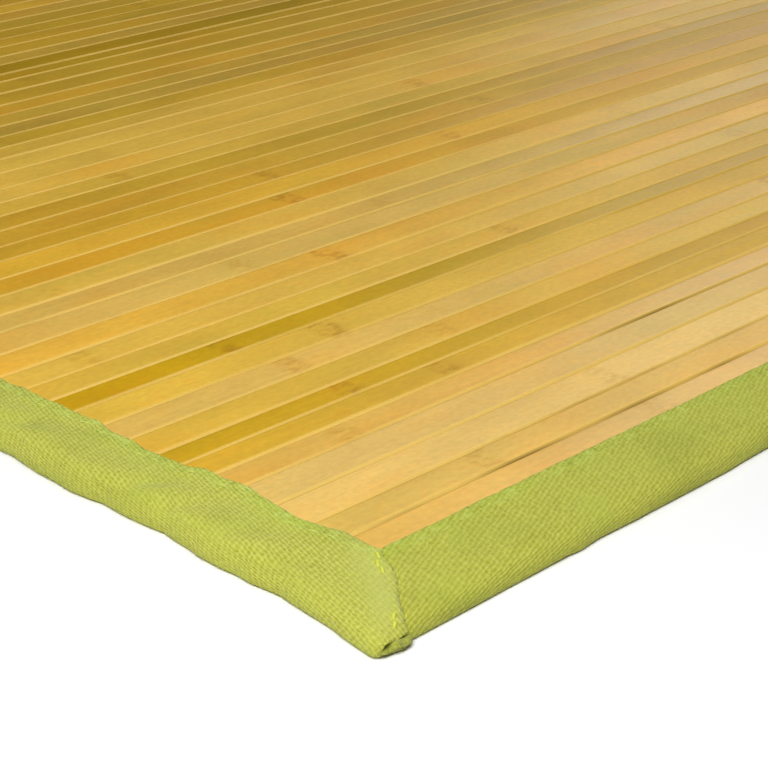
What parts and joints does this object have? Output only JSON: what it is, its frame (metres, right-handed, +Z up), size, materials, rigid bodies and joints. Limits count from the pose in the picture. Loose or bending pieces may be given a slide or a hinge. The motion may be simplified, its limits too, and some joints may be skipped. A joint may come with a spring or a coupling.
{
  "type": "bamboo rug",
  "caption": "Flat floor rug of bamboo slats laid side by side, bound all round in a wide folded strip of green cotton twill with mitred corners.",
  "frame": {"origin": "centre of the rug's bounding box, on the floor", "axes": "+X along the slats, +Y across the slats towards the far end, +Z up"},
  "size_m": [1.2432, 1.83, 0.0086],
  "materials": {
    "bamboo": "satin varnish on split bamboo, honey to olive",
    "twill": "coarse lime green cotton twill"
  },
  "bodies": {
    "root": {"slat_field": "bamboo", "binding_left": "twill", "binding_right": "twill", "binding_near": "twill", "binding_far": "twill"}
  },
  "joints": []
}
